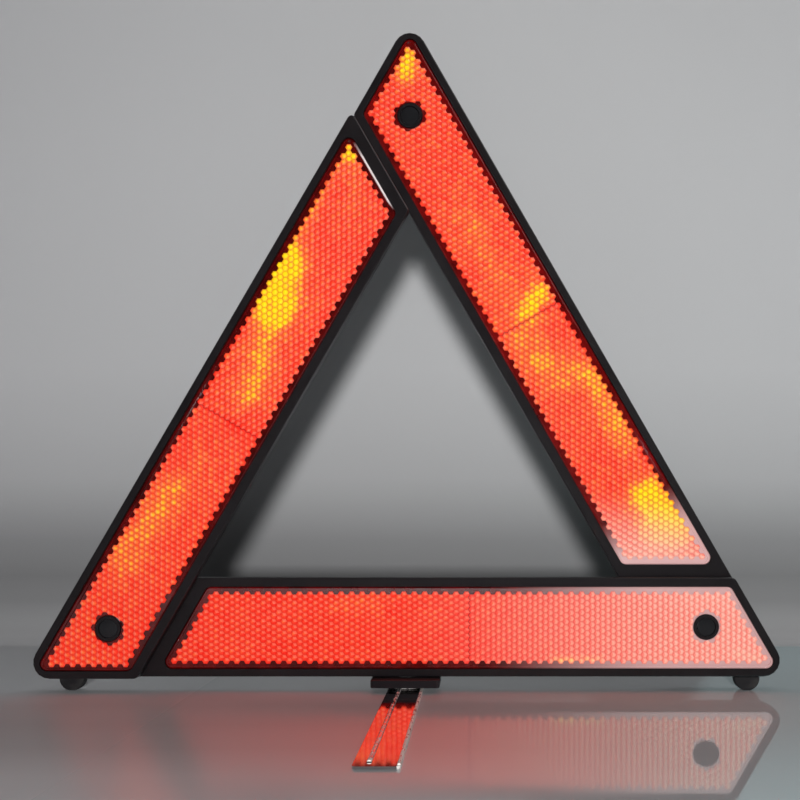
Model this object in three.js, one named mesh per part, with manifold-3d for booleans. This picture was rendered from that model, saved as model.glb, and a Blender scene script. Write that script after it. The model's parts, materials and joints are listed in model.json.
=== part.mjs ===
// Folding warning triangle: three black arms with red reflector panels, two riveted pivots, and a leg.
// Millimetres, +Z up. X runs along the base arm, and the reflectors face -Y.
// The origin is on the ground, under the middle of the base arm.
import * as THREE from "three";
import { mergeVertices } from "three/addons/utils/BufferGeometryUtils.js";
import Module from "manifold-3d";

const wasm = await Module();
wasm.setup();

// Triangle and arms
const SIDE = 444; // between the sharp outer corners, before they are rounded
const ARM_WIDTH = 57.5;
const ARM_DEPTH = 7;
const LAYER_GAP = 0.9; // between two arms that lie one behind the other
const GROUND_GAP = 8; // ground to the underside of the base arm
const LEAN = THREE.MathUtils.degToRad(0.8); // the side arms lean towards each other, so their ends meet
const SIXTY = Math.PI / 3;
const TWO_THIRDS_PI = 2 * SIXTY;
const OUTER_RADIUS = 9.5; // the arms' sharp corners
const INNER_RADIUS = 4; // the arms' blunt corners
const FREE_END_RADIUS = 2.5;
const LIP_BEVEL = 0.7;
const PANEL_BEVEL = 0.3;
const PANEL_GROOVE = 0.25; // depth, and half the width
const RECESS_INSET = 5.5; // from an arm's edge to a recess in its back
const RECESS_RADIUS = 3;
const BACK_RECESSES = { count: 4, first: -296, last: -20, rib: 4 };
const TONGUE_RIB = { width: 1.8, reach: 60 };

// Black borders round a reflector panel
const BORDER_OUTER = 4.7;
const BORDER_INNER = 5.5;
const BORDER_HEAD = 4.6;
const BORDER_TAIL = 7.2;

// Depths below an arm's front face
const PANEL_FRONT = 0.4;
const PANEL_DEPTH = 2.6;
const HOLLOW_FLOOR = 4.4;
const BACK_RECESS = 5.8; // floor of the shallow recesses in the back
const TONGUE_RECESS = 2.4; // floor of the deep recess behind the plain end
const LEDGE = 2.5; // shelf that carries the panel
const PANEL_RADIUS = 4;

const FIT = 0.3; // gap between pieces that touch
const CUT = 1; // how far a cutting solid passes the face that it cuts

// Pivots and caps
const BOSS_RADIUS = 7.2;
const BOSS_FRONT = 0.15;
const CAP_RADIUS = 5.2;
const CAP_DEPTH = 1.6;
const CAP_DOME = 0.5;
const COUNTERBORE_DEPTH = 3.2;
const RIVET_HEAD_RADIUS = 4.6;
const RIVET_HEAD_DEPTH = 0.9;
const RIVET_RADIUS = 2.8;
const RETAINER_RADIUS = 6;
const RETAINER_DEPTH = 1;
const RETAINER_RECESS = 2.2;
const RETAINER_BACK = 0.9; // below the tongue's back face
const PEEN = { depth: 0.6, lip: 1.1, crown: 0.6, rise: 0.4, tip: 0.5 };
const SPACER_RADIUS = 7.5;
const SPACER_DEPTH = 1.2;
const TONGUE_BOSS_RADIUS = 10;

// Top catch
const STUD_RADIUS = 2.8;
const STUD_REACH = 5; // how far it stands out behind the right arm
const BARB = { radius: 3.6, start: 2.4, widest: 2, tipInset: 0.6 };
const STUD_SLOT = { half: 0.6, start: 0.5 };
const CLIP = { back: 0.2, depth: 0.7 };

// Feet, bracket and leg
const FOOT_X = 196;
const FOOT_RADIUS = 7.2;
const FOOT_CENTRE_Z = 7;
const FOOT_DEPTH = 6.4;
const FOOT_BEVEL = 0.5;
const FOOT_PLUG = { x: 5, y: 4, top: 11.6, overlap: 2 };
const STAND_X = -2; // the bracket and the leg sit a little left of the middle
const BRACKET = { x: 39.6, y: 28, bottom: 3, top: 7.55, radius: 2, bevel: 0.5, roof: 4.25 };
const SCREW_X = 13.5;
const SCREW_RADIUS = 1.2;
const SCREW_TOP = 11.8;
const SCREW_HEAD_RADIUS = 2.6;
const SCREW_HEAD_DEPTH = 1.4;
const SCREW_SUNK = 0.1;
const SCREW_POINT = 0.8;
const LEG = { length: 376, width: 20, sheet: 1.2, radius: 2 };
const LEG_BEAD = { x: -3.4, width: 2.4, height: 1, end: 7 };
const LEG_CURL = { width: 1.5, height: 0.8, end: 2.5 };
const RIDGE_ROOT = 0.3; // how far a ridge's section reaches into the sheet
const LEG_DISH = { radius: 9.2, bottom: 0.5, top: 2.1, recess: 6.9, floor: 0.95 };
const WASHER_ROOM = 1.2; // round the washer in the dish
const LEG_RIVET = { radius: 2.3, head: 5.8, bottom: 0.1, headTop: 0.65, top: 7.45 };
const LEG_RIVET_CAP = { radius: 4.2, depth: 0.8 };
const LEG_WASHER = { radius: 7, bottom: 2.4, top: 3 };
const LEG_SPRING = { radius: 6.6, bottom: 3.3, sheet: 0.35, rise: 0.3 };

// Derived sizes
const ROOT3 = Math.sqrt(3);
const HALF = ARM_WIDTH / 2;
const CORNER = HALF * ROOT3; // from a pivot to the sharp corner, along the arm
const PIVOT_SPACING = SIDE - 2 * CORNER;
const PIVOT_X = PIVOT_SPACING / 2;
const PIVOT_Z = GROUND_GAP + HALF;
const LAYER = ARM_DEPTH + LAYER_GAP;
const BASE_FRONT = -ARM_DEPTH / 2;

const finish = (color, roughness, metalness) =>
  new THREE.MeshStandardMaterial({ color, roughness, metalness });
const blackPlastic = finish(0x1c1719, 0.45, 0);
const blackCap = finish(0x141416, 0.35, 0);
const redPrism = finish(0xfb4634, 0.15, 0);
const rubber = finish(0x121212, 0.8, 0);
const nylon = finish(0xd8d4c8, 0.5, 0);
const steel = finish(0xc9ccd0, 0.15, 1);
const springSteel = finish(0x8c8f94, 0.35, 1);

// A closed geometry as a solid that can be cut and joined.
function solid(geometry) {
  const bare = geometry.clone();
  bare.deleteAttribute("normal");
  bare.deleteAttribute("uv");
  const { attributes, index } = mergeVertices(bare, 1e-4);
  return new wasm.Manifold(
    new wasm.Mesh({
      numProp: 3,
      vertProperties: new Float32Array(attributes.position.array),
      triVerts: new Uint32Array(index.array),
    }),
  );
}

function piece(name, shape, material) {
  const { vertProperties, triVerts } = shape.getMesh();
  const geometry = new THREE.BufferGeometry();
  geometry.setAttribute("position", new THREE.BufferAttribute(vertProperties, 3));
  geometry.setIndex(new THREE.BufferAttribute(triVerts, 1));
  geometry.computeVertexNormals();
  const mesh = new THREE.Mesh(geometry, material);
  mesh.name = name;
  return mesh;
}

const joined = (first, ...others) => others.reduce((sum, other) => sum.add(other), first);
const cut = (first, ...others) => others.reduce((rest, other) => rest.subtract(other), first);

// An outline with rounded corners, from [x, y, radius] in anticlockwise order.
function roundedShape(corners) {
  const shape = new THREE.Shape();
  corners.forEach(([x, y, radius], i) => {
    const here = new THREE.Vector2(x, y);
    const before = new THREE.Vector2(...corners.at(i - 1)).sub(here).normalize();
    const after = new THREE.Vector2(...corners[(i + 1) % corners.length]).sub(here).normalize();
    const half = before.angleTo(after) / 2;
    const middle = before.clone().add(after).normalize();
    const centre = middle.multiplyScalar(radius / Math.sin(half)).add(here);
    const reach = radius / Math.tan(half);
    const start = before.multiplyScalar(reach).add(here).sub(centre).angle();
    const end = after.multiplyScalar(reach).add(here).sub(centre).angle();
    shape.absarc(centre.x, centre.y, radius, start, end, false);
  });
  shape.closePath();
  return shape;
}

// A plate in an arm's plane: its outline lies in X and Z, and it reaches from depth near to depth far.
function plate(shape, near, far, { bevel = 0, segments = 3 } = {}) {
  const geometry = new THREE.ExtrudeGeometry(shape, {
    depth: far - near - 2 * bevel,
    curveSegments: segments,
    bevelEnabled: bevel > 0,
    bevelThickness: bevel,
    bevelSize: bevel,
    bevelOffset: -bevel,
    bevelSegments: 2,
  });
  return solid(geometry.rotateX(Math.PI / 2).translate(0, far - bevel, 0));
}

// A solid of revolution round the depth axis, from [radius, depth] points in order from front to back.
function turned(profile, segments = 32) {
  const points = profile.map(([radius, depth]) => new THREE.Vector2(radius, depth));
  return solid(new THREE.LatheGeometry(points, segments));
}

const disc = (radius, near, far, segments = 32) =>
  turned([[0, near], [radius, near], [radius, far], [0, far]], segments);
const washer = (inner, outer, near, far, segments = 32) =>
  turned([[inner, near], [outer, near], [outer, far], [inner, far], [inner, near]], segments);

// A box from its lowest to its highest corner.
function box(low, high) {
  const size = high.map((value, i) => value - low[i]);
  const middle = high.map((value, i) => (value + low[i]) / 2);
  return solid(new THREE.BoxGeometry(...size).translate(...middle));
}

// Along an arm, x = 0 is its head pivot and the tail is at -x. Its outer edge is at z = -HALF.
const headLine = (z) => CORNER - (z + HALF) / ROOT3;
const neighbourLine = (z) => CORNER - SIDE + ARM_WIDTH / Math.sin(SIXTY) + (z + HALF) / ROOT3;
const tongueLine = (z) => CORNER - SIDE + (z + HALF) / ROOT3;

// The outline of the reflector panel, grown by a margin all round.
function panelShape(grow) {
  const low = BORDER_OUTER - HALF - grow;
  const high = HALF - BORDER_INNER + grow;
  const head = (z) => headLine(z) - (BORDER_HEAD - grow) / Math.sin(SIXTY);
  const tail = (z) => neighbourLine(z) + (BORDER_TAIL - grow) / Math.sin(SIXTY);
  const radius = PANEL_RADIUS + grow;
  return roundedShape([
    [tail(low), low, radius],
    [head(low), low, radius],
    [head(high), high, radius],
    [tail(high), high, radius],
  ]);
}

function armShape(hasTongue) {
  const tail = hasTongue ? tongueLine : neighbourLine;
  return roundedShape([
    [tail(-HALF), -HALF, hasTongue ? OUTER_RADIUS : FREE_END_RADIUS],
    [headLine(-HALF), -HALF, OUTER_RADIUS],
    [headLine(HALF), HALF, INNER_RADIUS],
    [tail(HALF), HALF, hasTongue ? INNER_RADIUS : FREE_END_RADIUS],
  ]);
}

// Shallow recesses in the back, between cross ribs.
function backRecesses() {
  const { count, first, last, rib } = BACK_RECESSES;
  const inset = RECESS_INSET;
  const pitch = (last - first + rib) / count;
  return Array.from({ length: count }, (_, i) => {
    const left = first + i * pitch;
    const right = left + pitch - rib;
    const outline = roundedShape([
      [left, inset - HALF, RECESS_RADIUS],
      [right, inset - HALF, RECESS_RADIUS],
      [right, HALF - inset, RECESS_RADIUS],
      [left, HALF - inset, RECESS_RADIUS],
    ]);
    return plate(outline, BACK_RECESS, ARM_DEPTH + CUT, { segments: 2 });
  });
}

// The deep recess behind the plain end, with a boss for the pivot and two ribs left standing.
function tongueRecess() {
  const near = (z) => neighbourLine(z) - 2 * CUT;
  const far = (z) => tongueLine(z) + RECESS_INSET / Math.sin(SIXTY);
  const low = RECESS_INSET - HALF;
  const high = HALF - RECESS_INSET;
  const outline = roundedShape([
    [far(low), low, RECESS_RADIUS + CUT],
    [near(low), low, RECESS_RADIUS],
    [near(high), high, RECESS_RADIUS],
    [far(high), high, RECESS_RADIUS + CUT],
  ]);
  const pivot = [-PIVOT_SPACING, 0, 0];
  const back = ARM_DEPTH + 2 * CUT;
  const boss = disc(TONGUE_BOSS_RADIUS, 0, back).translate(pivot);
  const { width, reach } = TONGUE_RIB;
  const rib = box([-reach, 0, -width / 2], [reach, back, width / 2]);
  const ribs = [SIXTY, -SIXTY].map((turn) => {
    const degrees = THREE.MathUtils.radToDeg(turn);
    return rib.rotate([0, degrees, 0]).translate(pivot);
  });
  return cut(plate(outline, TONGUE_RECESS, ARM_DEPTH + CUT), boss, ...ribs);
}

// A black tray. Only an arm with a tongue passes behind its neighbour's head.
function housing(hasTongue) {
  const boreRadius = RIVET_RADIUS + FIT;
  const shell = cut(
    plate(armShape(hasTongue), 0, ARM_DEPTH, { bevel: LIP_BEVEL }),
    plate(panelShape(FIT), -CUT, PANEL_FRONT + PANEL_DEPTH + FIT),
    plate(panelShape(-LEDGE), 0, HOLLOW_FLOOR),
    ...backRecesses(),
  );
  const headBoss = disc(BOSS_RADIUS, BOSS_FRONT, ARM_DEPTH - CUT);
  const headCuts = [
    disc(CAP_RADIUS + FIT, -CUT, COUNTERBORE_DEPTH),
    disc(boreRadius, 0, ARM_DEPTH + CUT),
    disc(SPACER_RADIUS + FIT, ARM_DEPTH - SPACER_DEPTH, ARM_DEPTH + CUT),
  ];
  const withHead = cut(joined(shell, headBoss), ...headCuts);
  if (!hasTongue) return withHead;
  const pivot = [-PIVOT_SPACING, 0, 0];
  return cut(
    withHead,
    tongueRecess(),
    disc(boreRadius, -CUT, ARM_DEPTH + CUT).translate(pivot),
    disc(RETAINER_RADIUS + FIT, ARM_DEPTH - RETAINER_RECESS, ARM_DEPTH + CUT).translate(pivot),
  );
}

// The red panel with its hole for the boss and a fine groove across its middle.
function reflectorPanel() {
  const grooveX = (headLine(0) + neighbourLine(0) - (BORDER_HEAD - BORDER_TAIL) / Math.sin(SIXTY)) / 2;
  const groove = box(
    [grooveX - PANEL_GROOVE, -CUT, -HALF],
    [grooveX + PANEL_GROOVE, PANEL_FRONT + PANEL_GROOVE, HALF],
  );
  return cut(
    plate(panelShape(0), PANEL_FRONT, PANEL_FRONT + PANEL_DEPTH, { bevel: PANEL_BEVEL }),
    disc(BOSS_RADIUS + FIT, -CUT, ARM_DEPTH),
    groove,
  );
}

// The domed cap that closes a head boss.
function cap() {
  const front = BOSS_FRONT;
  const shoulder = 0.55; // share of the radius at which the dome has dropped by a third
  return turned([
    [0, front],
    [CAP_RADIUS * shoulder, front + CAP_DOME / 3],
    [CAP_RADIUS, front + CAP_DOME],
    [CAP_RADIUS, front + CAP_DEPTH],
    [0, front + CAP_DEPTH],
  ]);
}

const RIVET_FRONT = BOSS_FRONT + CAP_DEPTH + FIT;

// The rivet through a head and the tongue behind it, peened over the retainer.
function pivotRivet() {
  const neck = RIVET_FRONT + RIVET_HEAD_DEPTH;
  const peen = LAYER + ARM_DEPTH - PEEN.depth;
  return turned([
    [0, RIVET_FRONT],
    [RIVET_HEAD_RADIUS, RIVET_FRONT],
    [RIVET_HEAD_RADIUS, neck],
    [RIVET_RADIUS, neck],
    [RIVET_RADIUS, peen],
    [RIVET_RADIUS + PEEN.lip, peen],
    [RIVET_RADIUS + PEEN.crown, peen + PEEN.rise],
    [0, peen + PEEN.tip],
  ], 24);
}

// The hardware on one pivot, in front-to-back order, round x = 0.
function pivotHardware(side) {
  const bore = RIVET_RADIUS + FIT;
  const spacerBack = ARM_DEPTH + FIT;
  const spacerFront = spacerBack - SPACER_DEPTH + FIT;
  const retainerBack = LAYER + ARM_DEPTH - RETAINER_BACK;
  const retainerFront = retainerBack - RETAINER_DEPTH;
  return [
    piece(side + "_pivot_cap", cap(), blackCap),
    piece(side + "_pivot_rivet", pivotRivet(), steel),
    piece(side + "_pivot_spacer", washer(bore, SPACER_RADIUS, spacerFront, spacerBack), nylon),
    piece(
      side + "_pivot_retainer",
      washer(bore, RETAINER_RADIUS, retainerFront, retainerBack, 24),
      springSteel,
    ),
  ];
}

// The catch stud in the right arm's head, split at its barbed end.
function catchStud() {
  const neck = RIVET_FRONT + RIVET_HEAD_DEPTH;
  const tip = ARM_DEPTH + STUD_REACH;
  const stud = turned([
    [0, RIVET_FRONT],
    [RIVET_HEAD_RADIUS, RIVET_FRONT],
    [RIVET_HEAD_RADIUS, neck],
    [STUD_RADIUS, neck],
    [STUD_RADIUS, tip - BARB.start],
    [BARB.radius, tip - BARB.widest],
    [STUD_RADIUS - BARB.tipInset, tip],
    [0, tip],
  ], 24);
  const { half, start } = STUD_SLOT;
  const reach = BARB.radius + CUT;
  return cut(stud, box([-half, ARM_DEPTH + start, -reach], [half, tip + CUT, reach]));
}

function catchClip() {
  const back = ARM_DEPTH - CLIP.back;
  return washer(STUD_RADIUS + FIT, SPACER_RADIUS, back - CLIP.depth, back, 24);
}

// A half-round foot with a plug that sits in the underside of the base arm.
function foot() {
  const flat = Math.acos(FOOT_CENTRE_Z / FOOT_RADIUS);
  const top = GROUND_GAP - FIT - FOOT_CENTRE_Z;
  const side = Math.asin(top / FOOT_RADIUS);
  const outline = new THREE.Shape();
  outline.absarc(0, FOOT_CENTRE_Z, FOOT_RADIUS, Math.PI - side, 1.5 * Math.PI - flat, false);
  outline.absarc(0, FOOT_CENTRE_Z, FOOT_RADIUS, 1.5 * Math.PI + flat, 2 * Math.PI + side, false);
  outline.closePath();
  const { x, y, top: plugTop, overlap } = FOOT_PLUG;
  return joined(
    plate(outline, -FOOT_DEPTH / 2, FOOT_DEPTH / 2, { bevel: FOOT_BEVEL, segments: 6 }),
    box([-x / 2, -y / 2, GROUND_GAP - overlap], [x / 2, y / 2, plugTop]),
  );
}

// The base arm's housing also has sockets for the feet and pilot holes for the bracket's screws.
function baseHousing() {
  const middle = ARM_DEPTH / 2;
  const { x, y, top } = FOOT_PLUG;
  const low = -HALF - CUT;
  const sockets = [-FOOT_X, FOOT_X].map((footX) =>
    box(
      [footX - PIVOT_X - x / 2 - FIT, middle - y / 2 - FIT, low],
      [footX - PIVOT_X + x / 2 + FIT, middle + y / 2 + FIT, top + FIT - PIVOT_Z],
    ),
  );
  const pilot = upright(disc(SCREW_RADIUS + FIT, low, SCREW_TOP + FIT - PIVOT_Z, 16));
  const pilots = [STAND_X - SCREW_X, STAND_X + SCREW_X].map((screwX) =>
    pilot.translate([screwX - PIVOT_X, middle, 0]),
  );
  return cut(housing(true), ...sockets, ...pilots);
}

// Turns a solid made round the depth axis so that its axis is vertical, and depth becomes height.
const upright = (shape) => shape.rotate([90, 0, 0]);

// The block under the base arm, hollowed below its roof for the leg's washers.
function bracket() {
  const { x, y, bottom, top, radius, bevel, roof } = BRACKET;
  const outline = roundedShape([
    [-x / 2, -y / 2, radius],
    [x / 2, -y / 2, radius],
    [x / 2, y / 2, radius],
    [-x / 2, y / 2, radius],
  ]);
  const block = solid(
    new THREE.ExtrudeGeometry(outline, {
      depth: top - bottom - 2 * bevel,
      curveSegments: 3,
      bevelThickness: bevel,
      bevelSize: bevel,
      bevelOffset: -bevel,
      bevelSegments: 2,
    }).translate(0, 0, bottom + bevel),
  );
  const shank = upright(disc(SCREW_RADIUS + FIT, 0, top + CUT, 16));
  const head = upright(disc(SCREW_HEAD_RADIUS + FIT, 0, bottom + SCREW_HEAD_DEPTH + FIT, 20));
  const holes = [-SCREW_X, SCREW_X].flatMap((screwX) => [
    shank.translate([screwX, 0, 0]),
    head.translate([screwX, 0, 0]),
  ]);
  const capBottom = LEG_RIVET.top - LEG_RIVET_CAP.depth - FIT;
  return cut(
    block,
    ...holes,
    upright(disc(LEG_RIVET.radius + FIT, 0, top + CUT, 24)),
    upright(disc(LEG_RIVET_CAP.radius + FIT, capBottom, top + CUT, 24)),
    upright(disc(LEG_WASHER.radius + 2 * FIT, 0, roof)),
  );
}

function bracketScrew() {
  const headBottom = BRACKET.bottom + SCREW_SUNK;
  const headTop = BRACKET.bottom + SCREW_HEAD_DEPTH;
  return upright(
    turned([
      [0, headBottom],
      [SCREW_HEAD_RADIUS, headBottom],
      [SCREW_HEAD_RADIUS, headTop],
      [SCREW_RADIUS, headTop],
      [SCREW_RADIUS, SCREW_TOP - SCREW_POINT],
      [0, SCREW_TOP],
    ], 16),
  );
}

// A raised ridge along the leg, with a half-elliptical section.
function ridge(middle, width, height, reach) {
  const outline = new THREE.Shape();
  const root = LEG.sheet - RIDGE_ROOT;
  outline.absellipse(middle, root, width / 2, height + RIDGE_ROOT, 0, Math.PI, false);
  outline.closePath();
  const geometry = new THREE.ExtrudeGeometry(outline, {
    depth: 2 * reach,
    curveSegments: 4,
    bevelEnabled: false,
  });
  return solid(geometry.rotateX(Math.PI / 2).translate(0, reach, 0));
}

// The leg: a steel strip with one pressed bead, one curled edge and a dished centre for the rivet.
function leg() {
  const { length, width, sheet, radius: corner } = LEG;
  const end = length / 2;
  const outline = roundedShape([
    [-width / 2, -end, corner],
    [width / 2, -end, corner],
    [width / 2, end, corner],
    [-width / 2, end, corner],
  ]);
  const strip = new THREE.ExtrudeGeometry(outline, {
    depth: sheet,
    curveSegments: 3,
    bevelEnabled: false,
  });
  const curlX = (width - LEG_CURL.width) / 2;
  const { radius, bottom, top, recess, floor } = LEG_DISH;
  const roomTop = top + LEG_CURL.height;
  return cut(
    joined(
      solid(strip),
      ridge(LEG_BEAD.x, LEG_BEAD.width, LEG_BEAD.height, end - LEG_BEAD.end),
      ridge(curlX, LEG_CURL.width, LEG_CURL.height, end - LEG_CURL.end),
      upright(turned([[0, bottom], [radius, bottom], [radius, sheet], [recess, top], [0, top]])),
    ),
    upright(disc(recess, -CUT, floor)),
    upright(disc(LEG_RIVET.radius + FIT, 0, top + CUT, 24)),
    upright(disc(LEG_WASHER.radius + WASHER_ROOM, top, roomTop)),
  );
}

function legRivet() {
  const { radius, head, bottom, headTop, top } = LEG_RIVET;
  const capBottom = top - LEG_RIVET_CAP.depth;
  return upright(
    turned([
      [0, bottom],
      [head, bottom],
      [head, headTop],
      [radius, headTop],
      [radius, capBottom],
      [LEG_RIVET_CAP.radius, capBottom],
      [LEG_RIVET_CAP.radius, top],
      [0, top],
    ], 24),
  );
}

function springWasher() {
  const inner = LEG_RIVET.radius + FIT;
  const { radius, bottom, sheet, rise } = LEG_SPRING;
  const profile = [
    [radius, bottom],
    [radius, bottom + sheet],
    [inner, bottom + sheet + rise],
    [inner, bottom + rise],
    [radius, bottom],
  ];
  return upright(turned(profile, 24));
}

function legWasher() {
  const { radius, bottom, top } = LEG_WASHER;
  return upright(washer(LEG_RIVET.radius + FIT, radius, bottom, top, 24));
}

function group(position, ...children) {
  const made = new THREE.Group();
  made.position.set(...position);
  if (children.length) made.add(...children);
  return made;
}

// An arm's pieces, with its head pivot at the group's origin.
function arm(name, shape) {
  return group(
    [0, 0, 0],
    piece(name + "_arm_housing", shape, blackPlastic),
    piece(name + "_arm_reflector", reflectorPanel(), redPrism),
  );
}

// Base arm: carries everything that does not move.
const baseArm = arm("base", baseHousing());
baseArm.position.set(PIVOT_X, BASE_FRONT, PIVOT_Z);
baseArm.add(...pivotHardware("right"));

// Left arm: in front of the base arm, head down.
const leftArm = arm("left", housing(false));
leftArm.rotation.y = TWO_THIRDS_PI;
leftArm.add(...pivotHardware("left"));
const leftLean = group([-PIVOT_X, BASE_FRONT - LAYER, PIVOT_Z], leftArm);
leftLean.rotation.x = -LEAN;

// Right arm: behind the base arm, head up.
const rightArm = arm("right", housing(true));
rightArm.rotation.y = -TWO_THIRDS_PI;
rightArm.position.set(-PIVOT_SPACING / 2, 0, PIVOT_SPACING * Math.sin(SIXTY));
rightArm.add(
  piece("top_catch_cap", cap(), blackCap),
  piece("top_catch_stud", catchStud(), blackCap),
  piece("top_catch_clip", catchClip(), springSteel),
);
const rightLean = group([PIVOT_X, BASE_FRONT + LAYER, PIVOT_Z], rightArm);
rightLean.rotation.x = LEAN;

const leftFoot = group([-FOOT_X, 0, 0], piece("left_foot", foot(), rubber));
const rightFoot = group([FOOT_X, 0, 0], piece("right_foot", foot(), rubber));

const stand = group(
  [STAND_X, 0, 0],
  piece("stand_bracket", bracket(), blackPlastic),
  group([-SCREW_X, 0, 0], piece("bracket_screw_left", bracketScrew(), steel)),
  group([SCREW_X, 0, 0], piece("bracket_screw_right", bracketScrew(), steel)),
  piece("leg_rivet", legRivet(), steel),
  piece("leg_spring_washer", springWasher(), springSteel),
  piece("leg_washer", legWasher(), steel),
  piece("leg_strip", leg(), steel),
);

const triangle = group([0, 0, 0], baseArm, leftLean, rightLean, leftFoot, rightFoot, stand);

export default triangle;
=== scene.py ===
"""Looks of a folding warning triangle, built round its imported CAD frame. Blender 4.5, metres."""

import json
import math
import random

import bmesh
import bpy
from mathutils import Matrix, Vector


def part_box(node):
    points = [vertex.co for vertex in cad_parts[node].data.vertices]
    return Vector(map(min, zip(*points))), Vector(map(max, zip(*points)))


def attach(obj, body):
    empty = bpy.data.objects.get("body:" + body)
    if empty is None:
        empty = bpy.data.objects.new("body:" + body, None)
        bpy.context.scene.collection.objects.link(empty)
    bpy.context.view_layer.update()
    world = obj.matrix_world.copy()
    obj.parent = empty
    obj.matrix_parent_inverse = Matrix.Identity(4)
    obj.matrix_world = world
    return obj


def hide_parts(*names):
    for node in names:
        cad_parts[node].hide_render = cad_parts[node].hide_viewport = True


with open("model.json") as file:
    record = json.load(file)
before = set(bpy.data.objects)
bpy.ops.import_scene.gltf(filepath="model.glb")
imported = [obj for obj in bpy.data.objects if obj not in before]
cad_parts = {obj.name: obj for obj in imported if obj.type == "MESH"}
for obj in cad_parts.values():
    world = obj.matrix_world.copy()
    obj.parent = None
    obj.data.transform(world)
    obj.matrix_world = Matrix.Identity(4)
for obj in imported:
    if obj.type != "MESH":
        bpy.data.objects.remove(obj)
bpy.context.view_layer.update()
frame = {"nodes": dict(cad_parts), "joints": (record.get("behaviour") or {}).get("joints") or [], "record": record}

MM = 0.001
ROOT3 = math.sqrt(3)
SIN60 = ROOT3 / 2
THIRD_TURN = math.radians(120)

# Arms, as in the CAD model
ARM_WIDTH = 57.5 * MM
LAYER = 7.9 * MM  # from one arm's front to the next one's
SIDE = 444 * MM
HALF = ARM_WIDTH / 2
CORNER = HALF * ROOT3

# Reflector panels
BORDER_OUTER = 4.7 * MM
BORDER_INNER = 5.5 * MM
BORDER_HEAD = 4.6 * MM
BORDER_TAIL = 7.2 * MM
PANEL_RADIUS = 4 * MM
PANEL_FRONT = 0.4 * MM
PANEL_BACK = 3.0 * MM
OUTLINE_STEP = 6 * MM
RIM_WIDTH = 1.9 * MM  # along the panel's long edges
END_RIM = 0.75  # share of that width at its slanted ends
RIM_BEVEL = 0.8 * MM  # width of the chamfer round the panel
RIM_DROP = 0.45 * MM
FIELD_DEPTH = 1.25 * MM  # floor of the plate behind the prisms
BOSS_HOLE = 7.5 * MM
BOSS_RIM = 0.5 * MM
BOSS_EDGE = BOSS_HOLE + BOSS_RIM
BOSS_BEVEL = 0.2 * MM
BOSS_STEPS = 48
CORNER_STEPS = 8
LEAST_RADIUS = 0.4 * MM

# Prism cells
CELL_PITCH = 3.5 * MM
CELL_CORNER = CELL_PITCH / ROOT3  # from a cell's middle to its corners
CELL_TOP = 0.5 * MM
CELL_GROOVE = 0.95 * MM
CELL_FOOT = 1.35 * MM
CELL_TILT = 0.12 * CELL_CORNER  # how far a cell's top may lie off its middle
CELL_UNEVEN = 0.06 * MM
CROWN_SIZE = 0.58  # ring round the top, over the cell's size
CROWN_LEAN = 0.8  # share of the tilt that the ring follows
CROWN_DROPS = (0.16 * MM, 0.10 * MM)  # of the ring's points below the top, by turns
CROWN_EDGE = 0.62  # height value on that ring, with 1 on top and 0 in the grooves
CELL_COLUMNS = 70  # enough to pass the panel's ends
CELL_ROWS = 8
EDGE_CLEARANCE = 0.98  # of half a cell, from a cell's middle to the field's edge
BOSS_CLEARANCE = 0.25  # of half a cell, from a cell's middle to the boss ring
SAME_CORNER = 0.05 * MM  # corners nearer than this are one
SEAM_GAP = 0.2 * MM
SEAM_REACH = 3 * MM  # cells this near the seam are a little duller
SEAM_DULLING = 0.3

# Leg strip
LEG_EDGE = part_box("leg_strip")[1].x - 1.5 * MM  # the curled edge lies beyond this
BEAD_FOOT = 1.45 * MM
BEAD_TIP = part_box("leg_strip")[0].y + 11 * MM  # the bead's end, painted pale: a highlight, and wear
LEG_BOW = 0.03  # how steeply the strip falls towards its end, metres per metre

# Colours
BLACK_MOULDED = (0.007, 0.0055, 0.0062)
BLACK_CAP = (0.008, 0.008, 0.009)
BLACK_BRACKET = (0.006, 0.005, 0.006)
BLACK_SCUFFED = (0.022, 0.02, 0.021)
STEEL_PLATED = (0.66, 0.67, 0.69)
STEEL_SPRING = (0.36, 0.37, 0.40)
# Steel tinted pink, a painted share of the red that the strip mirrors
STRIP_PINK_TINTED = (0.80, 0.74, 0.75)
STRIP_CLOUDED = (0.66, 0.61, 0.62)
# Pale of wear and of a painted highlight on the strip's edge and bead
STRIP_WEAR_AND_HIGHLIGHT = (0.86, 0.83, 0.78)
NYLON_DARK = (0.66, 0.63, 0.56)
NYLON_LIGHT = (0.76, 0.74, 0.68)
RUBBER_CLEAN = (0.012, 0.011, 0.012)
RUBBER_DUSTY = (0.045, 0.042, 0.04)
PRISM_RED_TO_HOT_SPOT = [  # from the prisms' red to the yellow of painted hot spots
    (0.0, (0.93, 0.028, 0.014)),
    (0.3, (0.95, 0.075, 0.032)),
    (0.6, (0.96, 0.20, 0.042)),
    (1.0, (0.97, 0.76, 0.008)),
]
# Pale pink of painted glare on the prisms
PRISM_GLARE = (0.97, 0.53, 0.43)
PRISM_LIT = (1.0, 0.36, 0.24)
PRISM_SHADED = (0.93, 0.02, 0.012)
# Deeper red painted in the grooves between cells, a painted shade
PRISM_GROOVE_SHADE = (0.66, 0.010, 0.006)
RIM_DARK = ((0.03, 0.001, 0.001), (0.09, 0.002, 0.002))
# Red of painted light from the prisms, seen in the clear rim
RIM_RED_LIGHT_TONES = ((0.10, 0.002, 0.002), (0.32, 0.004, 0.004))
# Pale pink of painted glare on the rims
RIM_GLARE = (0.70, 0.42, 0.41)
# Near white of a painted glint on one rim chamfer
RIM_PAINTED_GLINT = (0.98, 0.86, 0.84)

# Camera
CAMERA_DISTANCE = 0.616
VIEW_WIDTH = 0.4639  # seen across the picture at the base arm's front
CAMERA_X = 0.0389
CAMERA_Z = 0.107
CAMERA_SHIFT = (-0.0956, 0.1325)
SENSOR = 36

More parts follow.
